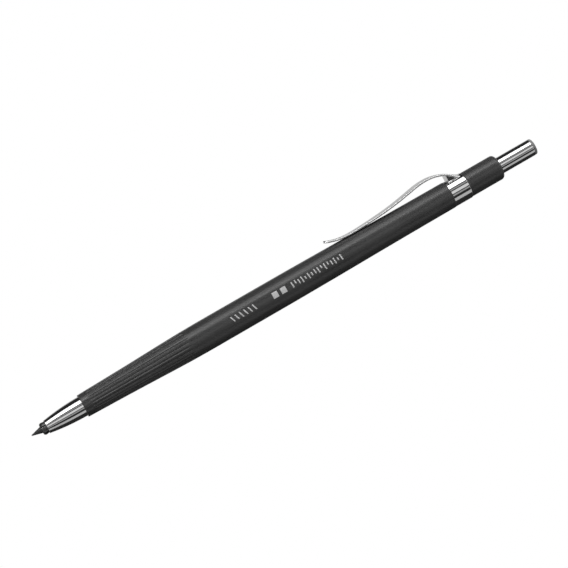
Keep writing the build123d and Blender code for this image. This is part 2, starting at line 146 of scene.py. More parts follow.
def rounded(corners):
    """An outline with rounded corners. Each corner is (x, radius, rounding); support points next to each
    rounding keep the flats beside it flat when the mesh is shaded smooth."""
    outline = []
    count = len(corners)
    for index, (x, y, rounding) in enumerate(corners):
        here = Vector((x, y))
        if not rounding:
            outline.append((x, y))
            continue
        back = Vector(corners[index - 1][:2]) - here
        ahead = Vector(corners[(index + 1) % count][:2]) - here
        back_room, ahead_room = back.length, ahead.length
        back.normalize()
        ahead.normalize()
        half = acos(max(-1, min(1, back.dot(ahead)))) / 2
        reach = rounding / tan(half)
        centre = here + (back + ahead).normalized() * rounding / sin(half)
        first, last = here + back * reach, here + ahead * reach
        if reach + SUPPORT < back_room / 2:
            outline.append(tuple(here + back * (reach + SUPPORT)))
        turn = pi - 2 * half
        for step in range(ARC_STEPS + 1):
            share = step / ARC_STEPS
            blend = (first - centre) * sin((1 - share) * turn) + (last - centre) * sin(share * turn)
            outline.append(tuple(centre + blend / sin(turn)))
        if reach + SUPPORT < ahead_room / 2:
            outline.append(tuple(here + ahead * (reach + SUPPORT)))
    return outline


# ---------------------------------------------------------------- meshes

SHARP = radians(38)
NO_RADIUS = 1e-6
TURNED_SEGMENTS = 160


def show(thing):
    """Puts a new object into the scene."""
    bpy.context.scene.collection.objects.link(thing)
    return thing


def make_object(name, vertices, faces, sharp=SHARP):
    """A smooth-shaded mesh object from points in millimetres."""
    mesh = bpy.data.meshes.new(name)
    mesh.from_pydata([tuple(value * MM for value in vertex) for vertex in vertices], [], faces)
    work = bmesh.new()
    work.from_mesh(mesh)
    bmesh.ops.recalc_face_normals(work, faces=work.faces)
    work.to_mesh(mesh)
    work.free()
    mesh.shade_smooth()
    mesh.set_sharp_from_angle(angle=sharp)
    return show(bpy.data.objects.new(name, mesh))


def lathe(name, outline, segments, relief=None, sharp=SHARP):
    """Turns a closed (x, radius) outline about X. Where relief is given, relief(x, radius, angle) is the
    radius that is used."""
    vertices, rings = [], []
    for x, radius in outline:
        if radius < NO_RADIUS:
            rings.append([len(vertices)])
            vertices.append((x, 0, 0))
            continue
        rings.append([len(vertices) + index for index in range(segments)])
        for index in range(segments):
            angle = tau * index / segments
            r = relief(x, radius, angle) if relief else radius
            vertices.append((x, r * cos(angle), r * sin(angle)))
    faces = []
    for ring, following in zip(rings, rings[1:] + rings[:1]):
        for index in range(segments):
            after = (index + 1) % segments
            if len(ring) > 1 and len(following) > 1:
                faces.append((ring[index], ring[after], following[after], following[index]))
            elif len(ring) > 1:
                faces.append((ring[index], ring[after], following[0]))
            elif len(following) > 1:
                faces.append((ring[0], following[after], following[index]))
    return make_object(name, vertices, faces, sharp)


def wedge(name, outline, middle, arc, segments):
    """Turns a closed outline about X through part of a circle, closed at both ends."""
    vertices, faces = [], []
    count = len(outline)
    for step in range(segments + 1):
        angle = middle + arc * (step / segments - 0.5)
        vertices += [(x, radius * cos(angle), radius * sin(angle)) for x, radius in outline]
    for step in range(segments):
        for index in range(count):
            after = (index + 1) % count
            near, far = step * count, (step + 1) * count
            faces.append((near + index, near + after, far + after, far + index))
    faces.append(tuple(range(count)))
    faces.append(tuple(range(segments * count, (segments + 1) * count)))
    return make_object(name, vertices, faces)


def skin(name, sections, sharp=SHARP):
    """A closed skin over a row of rings that all have the same number of points."""
    vertices = [point for section in sections for point in section]
    count = len(sections[0])
    faces = []
    for step in range(len(sections) - 1):
        near, far = step * count, (step + 1) * count
        for index in range(count):
            after = (index + 1) % count
            faces.append((near + index, near + after, far + after, far + index))
    faces.append(tuple(range(count)))
    faces.append(tuple(range(len(vertices) - count, len(vertices))))
    return make_object(name, vertices, faces, sharp)


# ---------------------------------------------------------------- materials

class Finish:
    """The node tree of one material. Its patterns are laid out in millimetres on the object."""

    def __init__(self, name):
        self.material = bpy.data.materials.new(name)
        self.material.use_nodes = True
        self.tree = self.material.node_tree
        self.surface = self.tree.nodes["Principled BSDF"]
        place = self.add("ShaderNodeTexCoord").outputs["Object"]
        self.place = self.add(
            "ShaderNodeVectorMath", {"Vector": place, "Scale": 1 / MM}, operation="SCALE"
        ).outputs[0]

    def add(self, kind, values=None, **settings):
        node = self.tree.nodes.new(kind)
        for key, value in settings.items():
            setattr(node, key, value)
        for key, value in (values or {}).items():
            self.connect(node.inputs[key], value)
        return node

    def connect(self, socket, value):
        if isinstance(value, bpy.types.NodeSocket):
            self.tree.links.new(value, socket)
        else:
            socket.default_value = value

    def noise(self, stretch, detail=3.0, roughness=0.6, offset=0.0):
        """Soft noise from 0 to 1; stretch is how many features it has per millimetre in x, y and z."""
        place = self.add(
            "ShaderNodeVectorMath",
            {0: self.place, 1: stretch, 2: (offset, offset, offset)},
            operation="MULTIPLY_ADD",
        ).outputs[0]
        return self.add(
            "ShaderNodeTexNoise",
            {"Vector": place, "Scale": 1.0, "Detail": detail, "Roughness": roughness},
        ).outputs[0]

    def along(self):
        """How far along the pencil a point is, in millimetres."""
        return self.add("ShaderNodeSeparateXYZ", {0: self.place}).outputs[0]

    def remap(self, value, low, high, to_low=0.0, to_high=1.0):
        return self.add(
            "ShaderNodeMapRange",
            {"Value": value, "From Min": low, "From Max": high, "To Min": to_low, "To Max": to_high},
            interpolation_type="SMOOTHSTEP",
        ).outputs[0]

    def math(self, operation, first, second=0.0, third=0.0):
        return self.add(
            "ShaderNodeMath", {0: first, 1: second, 2: third}, operation=operation
        ).outputs[0]

    def mix(self, factor, first, second):
        node = self.add("ShaderNodeMix", {0: factor}, data_type="RGBA")
        self.connect(node.inputs[6], first)
        self.connect(node.inputs[7], second)
        return node.outputs[2]

    def wear(self, radius, patches):
        """1 along the edges, where the bevelled normal leaves the real one, broken up by patches."""
        soft = self.add("ShaderNodeBevel", {"Radius": radius * MM}, samples=6).outputs[0]
        true = self.add("ShaderNodeNewGeometry").outputs["Normal"]
        match = self.add("ShaderNodeVectorMath", {0: soft, 1: true}, operation="DOT_PRODUCT")
        edge = self.remap(match.outputs["Value"], 0.995, 0.93)
        return self.math("MULTIPLY", edge, self.remap(patches, 0.35, 0.6))

    def bump(self, height, distance, strength=1.0):
        """Bump with its height in millimetres."""
        return self.add(
            "ShaderNodeBump", {"Strength": strength, "Distance": distance * MM, "Height": height}
        ).outputs[0]

    def finish(self, **inputs):
        names = {"colour": "Base Color", "metallic": "Metallic", "roughness": "Roughness",
                 "normal": "Normal", "ior": "IOR"}
        for key, value in inputs.items():
            self.connect(self.surface.inputs[names[key]], value)
        return self.material


def grey(level, warmth=0.0):
    return (level * (1 + warmth), level, level * (1 - warmth), 1)


# Where along the barrel the fingers' polish begins and is full
HANDLED = (46, 36)


def satin_plastic():
    """Black moulded plastic: fine grain, faint lengthwise scuffs, edges rubbed smooth and a little lighter,
    and the grip polished by fingers."""
    f = Finish("satin_black_plastic")
    clouds = f.noise((0.09, 0.35, 0.35), 4.0)
    scuffs = f.noise((0.35, 7, 7), 4.0, 0.7)
    grain = f.noise((16, 16, 16), 2.0)
    wear = f.wear(0.16, f.noise((1.3, 1.3, 1.3), offset=7))
    dark = f.mix(f.remap(clouds, 0.35, 0.65), grey(0.050), grey(0.060))
    scuffed = f.mix(f.remap(scuffs, 0.58, 0.78, 0, 0.5), dark, grey(0.12))
    colour = f.mix(f.math("MULTIPLY", wear, 0.6), scuffed, grey(0.16))
    smooth = f.remap(clouds, 0.3, 0.7, 0.26, 0.33)
    handled = f.remap(f.along(), *HANDLED)
    polish = f.math("MULTIPLY_ADD", handled, 0.13, f.math("MULTIPLY", wear, 0.1))
    roughness = f.math("SUBTRACT", smooth, polish)
    height = f.math("MULTIPLY_ADD", scuffs, 0.5, grain)
    return f.finish(colour=colour, roughness=roughness, ior=1.5, normal=f.bump(height, 0.004))


def chrome_plate():
    """Bright chrome: drawn polishing lines, thin smears and a duller tone where the edges have rubbed."""
    f = Finish("chrome_plate")
    lines = f.noise((0.12, 11, 11), 3.0)
    smears = f.noise((0.2, 0.6, 0.6), 3.0, offset=3)
    wear = f.wear(0.10, f.noise((1.6, 1.6, 1.6), offset=11))
    clean = f.mix(f.remap(smears, 0.4, 0.65), grey(0.90), grey(0.87, 0.004))
    colour = f.mix(f.math("MULTIPLY", wear, 0.6), clean, grey(0.66, 0.02))
    base = f.remap(smears, 0.45, 0.75, 0.07, 0.10)
    lined = f.math("MULTIPLY_ADD", lines, 0.05, base)
    roughness = f.math("MULTIPLY_ADD", wear, 0.12, lined)
    return f.finish(colour=colour, metallic=1.0, roughness=roughness, normal=f.bump(lines, 0.0006))


def dark_nickel():
    """Plated steel whose colour is darkened as painted shade for the jaws' shadow in the nose's mouth, with
    turning marks round it and brighter rubbed edges.
    """
    f = Finish("dark_nickel")
    turned = f.noise((14, 0.5, 0.5), 3.0)
    patches = f.noise((1.2, 1.2, 1.2), 3.0, offset=5)
    wear = f.wear(0.08, patches)
    # The dark base tone is painted shade: it gives the jaws the tone they take in the nose's shadow.
    base = f.mix(f.remap(patches, 0.35, 0.65), grey(0.11), grey(0.17))
    colour = f.mix(wear, base, grey(0.45))
    roughness = f.math("MULTIPLY_ADD", turned, 0.14, f.remap(patches, 0.3, 0.7, 0.24, 0.34))
    return f.finish(colour=colour, metallic=1.0, roughness=roughness, normal=f.bump(turned, 0.002))


def graphite():
    """Graphite: dark grey with a dull shine, fine sharpening rings and small pits."""
    f = Finish("graphite")
    rings = f.noise((9, 0.7, 0.7), 4.0, 0.7)
    pits = f.noise((11, 11, 11), 3.0, offset=9)
    shine = f.noise((0.8, 1.5, 1.5), 2.0)
    colour = f.mix(f.remap(pits, 0.35, 0.7), grey(0.022), grey(0.07))
    roughness = f.remap(shine, 0.3, 0.7, 0.34, 0.5)
    height = f.math("MULTIPLY_ADD", pits, 0.6, rings)
    return f.finish(colour=colour, metallic=0.35, roughness=roughness, normal=f.bump(height, 0.006))


def turned_metal(name, bright, tarnished, rough):
    """Bare turned metal with rings round it, tarnished in patches and brighter at its edges."""
    f = Finish(name)
    rings = f.noise((12, 0.4, 0.4), 3.0)
    patches = f.noise((0.5, 0.9, 0.9), 4.0, offset=2)
    wear = f.wear(0.1, patches)
    colour = f.mix(f.math("SUBTRACT", f.remap(patches, 0.35, 0.7), wear), bright, tarnished)
    roughness = f.math("MULTIPLY_ADD", rings, 0.12, f.remap(patches, 0.35, 0.7, rough, rough + 0.14))
    return f.finish(colour=colour, metallic=1.0, roughness=roughness, normal=f.bump(rings, 0.003))


def moulded_plastic(name, tone, shade):
    """Moulded plastic with a fine grain, cloudy tone and rubbed edges."""
    f = Finish(name)
    clouds = f.noise((0.5, 0.7, 0.7), 3.0)
    grain = f.noise((14, 14, 14), 2.0)
    wear = f.wear(0.12, f.noise((1.5, 1.5, 1.5), offset=4))
    colour = f.mix(f.remap(clouds, 0.35, 0.65), tone, shade)
    roughness = f.math("SUBTRACT", f.remap(clouds, 0.3, 0.7, 0.4, 0.5), f.math("MULTIPLY", wear, 0.12))
    return f.finish(colour=colour, roughness=roughness, normal=f.bump(grain, 0.003))


def print_ink():
    """White printed ink, thin and rubbed through in specks."""
    f = Finish("print_ink")
    specks = f.noise((9, 9, 9), 3.0, 0.7)
    rubbed = f.remap(specks, 0.60, 0.74)
    colour = f.mix(rubbed, grey(0.66), grey(0.16))
    roughness = f.remap(specks, 0.3, 0.7, 0.45, 0.6)
    return f.finish(colour=colour, roughness=roughness, normal=f.bump(specks, 0.002))


BLACK = satin_plastic()
CHROME = chrome_plate()
NICKEL_DARKENED_AS_SHADE = dark_nickel()
GRAPHITE = graphite()
INK = print_ink()
BRASS = turned_metal("turned_brass", (0.80, 0.58, 0.27, 1), (0.52, 0.36, 0.17, 1), 0.22)
STEEL = turned_metal("spring_steel_bright", grey(0.62), grey(0.42, 0.01), 0.2)
WHITE_PLASTIC = moulded_plastic("white_moulded_plastic", grey(0.78, 0.01), grey(0.70, 0.02))
GREY_PLASTIC = moulded_plastic("grey_moulded_plastic", grey(0.30), grey(0.24))


def dress(piece, material, slot, body=None, *nodes):
    """Gives a piece its material, rides it on a body and lets it stand for CAD nodes. Its slot argument is
    not used.
    """
    piece.data.materials.clear()
    piece.data.materials.append(material)
    if nodes:
        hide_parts(*nodes)
    if body:
        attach(piece, body)
    return piece


# ---------------------------------------------------------------- barrel with its grip grooves

GROOVE_COUNT = 24
GROOVE_PITCH = tau / GROOVE_COUNT
BETWEEN_GROOVES = GROOVE_PITCH / 2
GROOVE_RADIUS = 0.28
GROOVE_FIRST, GROOVE_LAST = 11.4, 41.6
GROOVE_ENDS = (14.4, 37.0)
GROOVE_EDGE = 0.02
BARREL_SEGMENTS = 480
BARREL_FRONT_BORE = 2.50
BARREL_BORE = 2.30
BARREL_REAR_BORE = 2.70
FRONT_BORE_END = 18.05
REAR_BORE_START = 108.95
RIM_ROUNDING = 0.15
RIM_ROW = 0.4
BARREL_SHARP = radians(50)
GROOVE_SAMPLES = 60
SHALLOWEST_GROOVE = 0.004
# How far behind the barrel's front its radius is read off the CAD node
RADIUS_STATIONS = (0.4, 5, 10, 15, 20, 25, 30, 35, 40, 47, 54, 61, 68, 75, 82, 89, 96, 101, 106.4)

barrel_start, barrel_end = span("barrel")
barrel_gauge = Gauge("barrel")
barrel_radius = curve(
    [(barrel_start + s, barrel_gauge.radius(barrel_start + s, BETWEEN_GROOVES)) for s in RADIUS_STATIONS]
)


def groove_depth_at(x):
    return barrel_radius(x) - barrel_gauge.radius(x, 0)


groove_depth = curve([(x, groove_depth_at(x)) for x in steps(GROOVE_FIRST, GROOVE_LAST, GROOVE_SAMPLES)])


# Two values this many times their softness apart need no easing, which also keeps exp from overflowing.
FAR_APART = 30


def softly_lower(first, second, softness):
    """The lower of two values, with the corner between them eased."""
    gap = (first - second) / softness
    if abs(gap) > FAR_APART:
        return min(first, second)
    return -softness * log(exp(-first / softness) + exp(-second / softness))


def grooved(x, radius, angle):
    """The barrel's radius with its grip grooves, each as wide and deep as a round cutter leaves it."""
    if not GROOVE_FIRST < x < GROOVE_LAST or radius < barrel_radius(x) - RIM_ROUNDING:
        return radius
    depth = groove_depth(x)
    if depth < SHALLOWEST_GROOVE:
        return radius
    offset = (angle + BETWEEN_GROOVES) % GROOVE_PITCH - BETWEEN_GROOVES
    centre = radius - depth + GROOVE_RADIUS
    aside = centre * sin(offset)
    if abs(aside) >= GROOVE_RADIUS:
        return radius
    floor = centre * cos(offset) - sqrt(GROOVE_RADIUS**2 - aside**2)
    return softly_lower(radius, floor, GROOVE_EDGE)


barrel_stations = (
    steps(barrel_start + RIM_ROW, GROOVE_FIRST, 2)[:-1]
    + steps(GROOVE_FIRST, GROOVE_ENDS[0], 15)[:-1]
    + steps(GROOVE_ENDS[0], GROOVE_ENDS[1], 24)[:-1]
    + steps(GROOVE_ENDS[1], GROOVE_LAST, 23)[:-1]
    + steps(GROOVE_LAST, barrel_end - RIM_ROW, 34)
)
front_rim = rounded([
    (FRONT_BORE_END, BARREL_BORE, 0),
    (FRONT_BORE_END, BARREL_FRONT_BORE, 0),
    (barrel_start, BARREL_FRONT_BORE, 0.05),
    (barrel_start, barrel_radius(barrel_start), RIM_ROUNDING),
    (barrel_start + 2 * RIM_ROW, barrel_radius(barrel_start + 2 * RIM_ROW), 0),
])[:-1]
rear_rim = rounded([
    (barrel_end - 2 * RIM_ROW, barrel_radius(barrel_end - 2 * RIM_ROW), 0),
    (barrel_end, barrel_radius(barrel_end), RIM_ROUNDING),
    (barrel_end, BARREL_REAR_BORE, 0.05),
    (REAR_BORE_START, BARREL_REAR_BORE, 0),
    (REAR_BORE_START, BARREL_BORE, 0),
])[1:]
barrel_outline = front_rim + [(x, barrel_radius(x)) for x in barrel_stations] + rear_rim
barrel_body = lathe("barrel_body", barrel_outline, BARREL_SEGMENTS, grooved, BARREL_SHARP)
dress(barrel_body, BLACK, "black_plastic", "barrel", "barrel")


# ---------------------------------------------------------------- printed strokes

PRINT_MIDDLE = radians(172)
PRINT_PROUD = 0.012
PRINT_SUNK = 0.02
PRINT_STEPS = 5
TICK_COUNT, TICK_START, TICK_PITCH = 6, 52.6, 1.25
TICK_WIDTH, TICK_HEIGHT, TICK_SLANT = 0.34, 1.5, -0.35
SQUARE_PLACES = (64.9, 67.3)
SQUARE_WIDTH, SQUARE_HEIGHT = 1.5, 1.6
BAR_COUNT, BAR_START, BAR_PITCH = 16, 69.9, 0.95
BAR_WIDTH, BAR_SLANT = 0.32, -0.1
BAR_HEIGHTS = (1.6, 0.9, 1.2, 1.6, 0.8)


def stroke(x, width, height, slant=0.0, lift=0.0):
    """One printed stroke as a thin curved block on the barrel: (vertices, faces)."""
    vertices, faces = [], []
    for step in range(PRINT_STEPS + 1):
        along = height * (step / PRINT_STEPS - 0.5)
        for side in (-0.5, 0.5):
            at = x + side * width + slant * along
            radius = barrel_radius(at)
            angle = PRINT_MIDDLE - (along + lift) / radius
            for r in (radius - PRINT_SUNK, radius + PRINT_PROUD):
                vertices.append((at, r * cos(angle), r * sin(angle)))
    for step in range(PRINT_STEPS):
        near, far = 4 * step, 4 * step + 4
        for first, second in ((0, 1), (1, 3), (3, 2), (2, 0)):
            faces.append((near + first, near + second, far + second, far + first))
    last = 4 * PRINT_STEPS
    faces.append((0, 1, 3, 2))
    faces.append((last, last + 1, last + 3, last + 2))
    return vertices, faces


strokes = [
    stroke(TICK_START + TICK_PITCH * index, TICK_WIDTH, TICK_HEIGHT, TICK_SLANT)
    for index in range(TICK_COUNT)
]
strokes += [stroke(x, SQUARE_WIDTH, SQUARE_HEIGHT) for x in SQUARE_PLACES]
for index in range(BAR_COUNT):
    height = BAR_HEIGHTS[index % len(BAR_HEIGHTS)]
    lift = (max(BAR_HEIGHTS) - height) / 2 * (index % 2)
    strokes.append(stroke(BAR_START + BAR_PITCH * index, BAR_WIDTH, height, BAR_SLANT, lift))
print_vertices, print_faces = [], []
for vertices, faces in strokes:
    base = len(print_vertices)
    print_vertices += vertices
    print_faces += [tuple(base + index for index in face) for face in faces]
print_marks = make_object("print_marks", print_vertices, print_faces)
dress(print_marks, INK, "white_plastic", "barrel")


# ---------------------------------------------------------------- nose cone

NOSE_MOUTH = 1.534
NOSE_SEAT = 1.4
NOSE_THROAT = 1.38
NOSE_THROAT_END = 6.5
NOSE_BORE = 1.68
NOSE_BORE_START = 7.0
NOSE_SPIGOT = 2.1
NOSE_RELIEF = 0.15
SHOULDER_GAP = 0.05
# How far from the mouth and from the shoulder the curve is read off the CAD node, and its rows are drawn
NOSE_READ = (0.2, 0.02)
NOSE_DRAWN = (0.35, 0.15)

nose_start, nose_end = span("nose_cone")
nose_gauge = Gauge("nose_cone")
shoulder = barrel_start - SHOULDER_GAP
nose_radius = curve([
    (x, nose_gauge.radius(x, BETWEEN_GROOVES))
    for x in steps(nose_start + NOSE_READ[0], shoulder - NOSE_READ[1], 8)
])
nose_outside = [
    (x, nose_radius(x)) for x in steps(shoulder - NOSE_DRAWN[1], nose_start + NOSE_DRAWN[0], 24)
]
nose_tail = rounded([
    (nose_start + NOSE_THROAT_END, NOSE_THROAT, 0),
    (nose_start + NOSE_BORE_START, NOSE_BORE, 0),
    (nose_end, NOSE_BORE, 0.05),
    (nose_end, NOSE_SPIGOT - NOSE_RELIEF, 0),
    (nose_end - NOSE_RELIEF, NOSE_SPIGOT, 0),
    (shoulder + 4 * NOSE_RELIEF, NOSE_SPIGOT, 0),
    (shoulder + 3 * NOSE_RELIEF, NOSE_SPIGOT - NOSE_RELIEF, 0),
    (shoulder, NOSE_SPIGOT - NOSE_RELIEF, 0.05),
    (shoulder, nose_radius(shoulder), 0.06),
    (shoulder - 1, nose_radius(shoulder - 1), 0),
])[:-1]
nose_mouth = rounded([
    (nose_start + 1, nose_radius(nose_start + 1), 0),
    (nose_start, nose_radius(nose_start), 0.1),
    (nose_start, NOSE_MOUTH, 0.03),
    (nose_start + NOSE_SEAT, NOSE_THROAT, 0),
])[1:]
nose = lathe("nose", nose_outside + nose_mouth + nose_tail, TURNED_SEGMENTS)
dress(nose, CHROME, "chrome", "barrel", "nose_cone")


# ---------------------------------------------------------------- collet jaws

JAW_GRIP = 1.01
JAW_FACE = 1.35
JAW_HEAD = 1.62
JAW_CHAMFER = 0.4
JAW_HEAD_LENGTH = 2.85
JAW_HEAD_REAR = 1.347
JAW_STEM = 1.24
JAW_STEM_START = 3.4
JAW_RELIEF = 1.05
JAW_GRIP_LENGTH = 2.4
JAW_ARC = radians(108)
JAW_SEGMENTS = 28

# The jaws use the darkened nickel, whose dark tone is painted shade.
for side, middle in (("top", 90), ("left", 210), ("right", 330)):
    node = f"collet_jaw_{side}"
    start, end = span(node)
    jaw_outline = rounded([
        (start, JAW_GRIP, 0.02),
        (start, JAW_FACE, 0.05),
        (start + JAW_CHAMFER, JAW_HEAD, 0.1),
        (start + JAW_HEAD_LENGTH, JAW_HEAD_REAR, 0),
        (start + JAW_STEM_START, JAW_STEM, 0),
        (end, JAW_STEM, 0.03),
        (end, JAW_RELIEF, 0),
        (start + JAW_GRIP_LENGTH, JAW_RELIEF, 0),
        (start + JAW_GRIP_LENGTH, JAW_GRIP, 0),
    ])
    jaw = wedge(f"jaw_{side}", jaw_outline, radians(middle), JAW_ARC, JAW_SEGMENTS)
    dress(jaw, NICKEL_DARKENED_AS_SHADE, "dark_nickel", f"jaw_{side}", node)


# ---------------------------------------------------------------- lead

LEAD_POINT = 3.3
LEAD_TIP = 0.12
LEAD_SEGMENTS = 64

lead_start, lead_end = span("lead")
lead_radius = outer_radius("lead")
lead_outline = rounded([
    (lead_end, 0, 0),
    (lead_end, lead_radius, 0.1),
    (lead_start + LEAD_POINT, lead_radius, 0.25),
    (lead_start, LEAD_TIP, 0.06),
    (lead_start, 0, 0),
])
lead_stick = lathe("lead_stick", lead_outline, LEAD_SEGMENTS)
dress(lead_stick, GRAPHITE, "graphite", "lead", "lead")


# ---------------------------------------------------------------- clip

CLIP_THICKNESS = 0.5
CLIP_EDGE = 0.17
CLIP_CROWN = 0.10
# The strip's side view, at the middle of its thickness: (x, z)
CLIP_LINE = [
    (82.70, 5.40), (83.50, 5.08), (84.40, 4.78), (85.60, 4.45), (87.00, 4.20), (88.60, 4.05), (90.30, 4.01),
    (92.60, 4.07), (95.00, 4.18), (98.10, 4.38), (101.20, 4.65), (104.30, 5.05), (107.40, 5.57),
    (110.40, 6.09), (112.00, 6.24), (113.60, 6.26), (115.10, 6.10), (116.60, 5.72), (118.10, 5.12),
    (119.40, 4.38), (120.40, 3.80), (121.20, 3.38), (121.95, 3.06),
]
CLIP_HALF_WIDTHS = [(82.7, 1.30), (98, 1.75), (114.4, 2.10), (119.4, 2.00), (121.95, 1.90)]
CLIP_TIP_ROUND = 1.15
CLIP_TIP_BLUNT = 0.06
CLIP_ARCH = (118.6, 121.2)
CLIP_ARC = 4
FLAT_SHARES = (0.08, 0.22, 0.36, 0.5, 0.64, 0.78, 0.92)
SLOPE_STEP = 0.05
CLIP_TIP_ROWS = 20
CLIP_ROWS = 130
CLIP_SHARP = radians(50)

clip_z = curve(CLIP_LINE)
clip_half_width = curve(CLIP_HALF_WIDTHS)
ring_start, ring_end = span("clip_band")
ring_radius = outer_radius("clip_band")


def eased(value, low, high):
    """0 below low, 1 above high, and smooth between."""
    share = min(1, max(0, (value - low) / (high - low)))
    return share * share * (3 - 2 * share)


def clip_tilt(x):
    """The strip's slope at x, as an angle."""
    return atan2(clip_z(x + SLOPE_STEP) - clip_z(x - SLOPE_STEP), 2 * SLOPE_STEP)


def clip_section(x, half_width):
    """One cross-section of the strip as points round it. It is slightly crowned on top, and bends to the
    band's roundness where it lands on it."""
    tilt = clip_tilt(x)
    arch = eased(x, *CLIP_ARCH)
    edge = min(CLIP_EDGE, half_width / 2)
    flat, upright = half_width - edge, CLIP_THICKNESS / 2 - edge
    corners = ((-90, flat, -upright), (0, flat, upright), (90, -flat, upright), (180, -flat, -upright))
    points = []
    for turn, y, z in corners:
        for step in range(CLIP_ARC + 1):
            angle = radians(turn + 90 * step / CLIP_ARC)
            points.append((y + edge * cos(angle), z + edge * sin(angle)))
        if turn in (0, 180):
            face = copysign(CLIP_THICKNESS / 2, z)
            points += [(y * (1 - 2 * share), face) for share in FLAT_SHARES]
    ring = []
    for y, z in points:
        crown = CLIP_CROWN * (1 - (y / half_width) ** 2) * (1 - arch) if z > 0 else 0
        drop = (ring_radius - sqrt(ring_radius**2 - y * y)) * arch
        ring.append((x - sin(tilt) * (z + crown), y, clip_z(x) + cos(tilt) * (z + crown) - drop))
    return ring


tip = CLIP_LINE[0][0]
clip_rows = []
for angle in steps(90, 0, CLIP_TIP_ROWS):
    behind = CLIP_TIP_ROUND * (1 - sin(radians(angle)))
    share = CLIP_TIP_BLUNT + (1 - CLIP_TIP_BLUNT) * cos(radians(angle))
    clip_rows.append(clip_section(tip + behind, clip_half_width(tip + behind) * share))
for x in steps(tip + CLIP_TIP_ROUND, CLIP_LINE[-1][0], CLIP_ROWS)[1:]:
    clip_rows.append(clip_section(x, clip_half_width(x)))
clip_strip = skin("clip_strip", clip_rows, CLIP_SHARP)
dress(clip_strip, CHROME, "chrome", None, "clip_arm")
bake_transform(clip_strip)

# The band is a plain ring with a saddle that fills the space up to the strip's underside.
RING_INSIDE = 3.07
SADDLE = (118.2, 120.9)
SADDLE_HALF_WIDTH = 1.6
SADDLE_EDGE = 0.12
SADDLE_FOOT = 3.1
SADDLE_ROWS = 24
SADDLE_SHARP = radians(30)

ring_outline = rounded([
    (ring_start, RING_INSIDE, 0.04),
    (ring_start, ring_radius, 0.12),
    (ring_end, ring_radius, 0.12),
    (ring_end, RING_INSIDE, 0.04),
])
clip_ring = lathe("clip_ring", ring_outline, TURNED_SEGMENTS)
saddle_side = [(SADDLE[0], SADDLE_FOOT), (SADDLE[1], SADDLE_FOOT)]
saddle_side += [
    (x, clip_z(x) - CLIP_THICKNESS / 2 / cos(clip_tilt(x)) + SADDLE_EDGE)
    for x in steps(SADDLE[1], SADDLE[0] + SADDLE_EDGE, SADDLE_ROWS)
]
saddle_side.append((SADDLE[0], saddle_side[-1][1] - SADDLE_EDGE))
saddle_middle = sum(SADDLE) / 2
saddle_rows = []
for y in (-1, 1):
    for inset, share in ((SADDLE_EDGE, 1), (0, 1 - SADDLE_EDGE / SADDLE_HALF_WIDTH))[::-y]:
        saddle_rows.append([
            (x + copysign(inset, saddle_middle - x), y * share * SADDLE_HALF_WIDTH, z)
            for x, z in saddle_side
        ])
saddle = skin("clip_saddle", saddle_rows, SADDLE_SHARP)
bpy.context.view_layer.update()
with bpy.context.temp_override(active_object=clip_ring, selected_editable_objects=[clip_ring, saddle]):
    bpy.ops.object.join()
dress(clip_ring, CHROME, "chrome", "barrel", "clip_band")


# ---------------------------------------------------------------- end cap

CAP_FRONT_BORE = 2.62
CAP_REAR_BORE = 2.28
CAP_STEP = 130.2
CAP_ROUNDING = 0.9

cap_start, cap_end = span("end_cap")
cap_radius = outer_radius("end_cap")
cap_outline = rounded([
    (cap_start, CAP_FRONT_BORE, 0.05),
    (cap_start, cap_radius, 0.15),
    (cap_end, cap_radius, CAP_ROUNDING),
    (cap_end, CAP_REAR_BORE, 0.08),
    (CAP_STEP, CAP_REAR_BORE, 0),
    (CAP_STEP, CAP_FRONT_BORE, 0),
])
cap = lathe("cap", cap_outline, TURNED_SEGMENTS)
dress(cap, BLACK, "black_plastic", "barrel", "end_cap")


# ---------------------------------------------------------------- push button

TUBE_INSIDE = 1.9

tube_start, tube_end = span("button_shell")
tube_radius = outer_radius("button_shell")
tube_outline = rounded([
    (tube_start, TUBE_INSIDE, 0.04),
    (tube_start, tube_radius, 0.1),
    (tube_end, tube_radius, 0.1),
    (tube_end, TUBE_INSIDE, 0.04),
])
button_tube = lathe("button_tube", tube_outline, TURNED_SEGMENTS)
dress(button_tube, CHROME, "chrome", "button", "button_shell")

DISC_HEAD = 0.85
DISC_DOME = 0.25
DISC_NECK = 1.88
DISC_SEGMENTS = 120
DOME_SHARES = (0, 0.2, 0.4, 0.6, 0.75)

disc_start, disc_end = span("button_plug")
disc_radius = outer_radius("button_plug")
dome = [(disc_end - DISC_DOME * share**2, disc_radius * share) for share in DOME_SHARES]
disc_rim = rounded([
    (*dome[-1], 0),
    (disc_end - DISC_DOME, disc_radius, 0.3),
    (disc_end - DISC_HEAD, disc_radius, 0.06),
    (disc_end - DISC_HEAD, DISC_NECK, 0.02),
    (disc_start, DISC_NECK, 0.1),
    (disc_start, 0, 0),
])[1:]
button_disc = lathe("button_disc", dome + disc_rim, DISC_SEGMENTS)
dress(button_disc, GREY_PLASTIC, "grey_plastic", "button", "button_plug")


# ---------------------------------------------------------------- return spring

WIRE = 0.18
WIRE_SIDES = 10
STEPS_PER_TURN = 40
CLOSED_TURNS = 1.25
OPEN_TURNS = 8.5
CLOSED_GAP = 0.01
SPRING_SHARP = radians(60)

spring_start, spring_end = span("return_spring")
spring_mean = outer_radius("return_spring") - WIRE
closed_pitch = 2 * WIRE + CLOSED_GAP
open_pitch = (spring_end - spring_start - 2 * WIRE - 2 * CLOSED_TURNS * closed_pitch) / OPEN_TURNS


def coil_advance(turns):
    """How far along X the wire is after so many turns: closed end turns, open turns between."""
    first = min(turns, CLOSED_TURNS)
    middle = min(max(turns - CLOSED_TURNS, 0), OPEN_TURNS)
    last = max(turns - CLOSED_TURNS - OPEN_TURNS, 0)
    return (first + last) * closed_pitch + middle * open_pitch


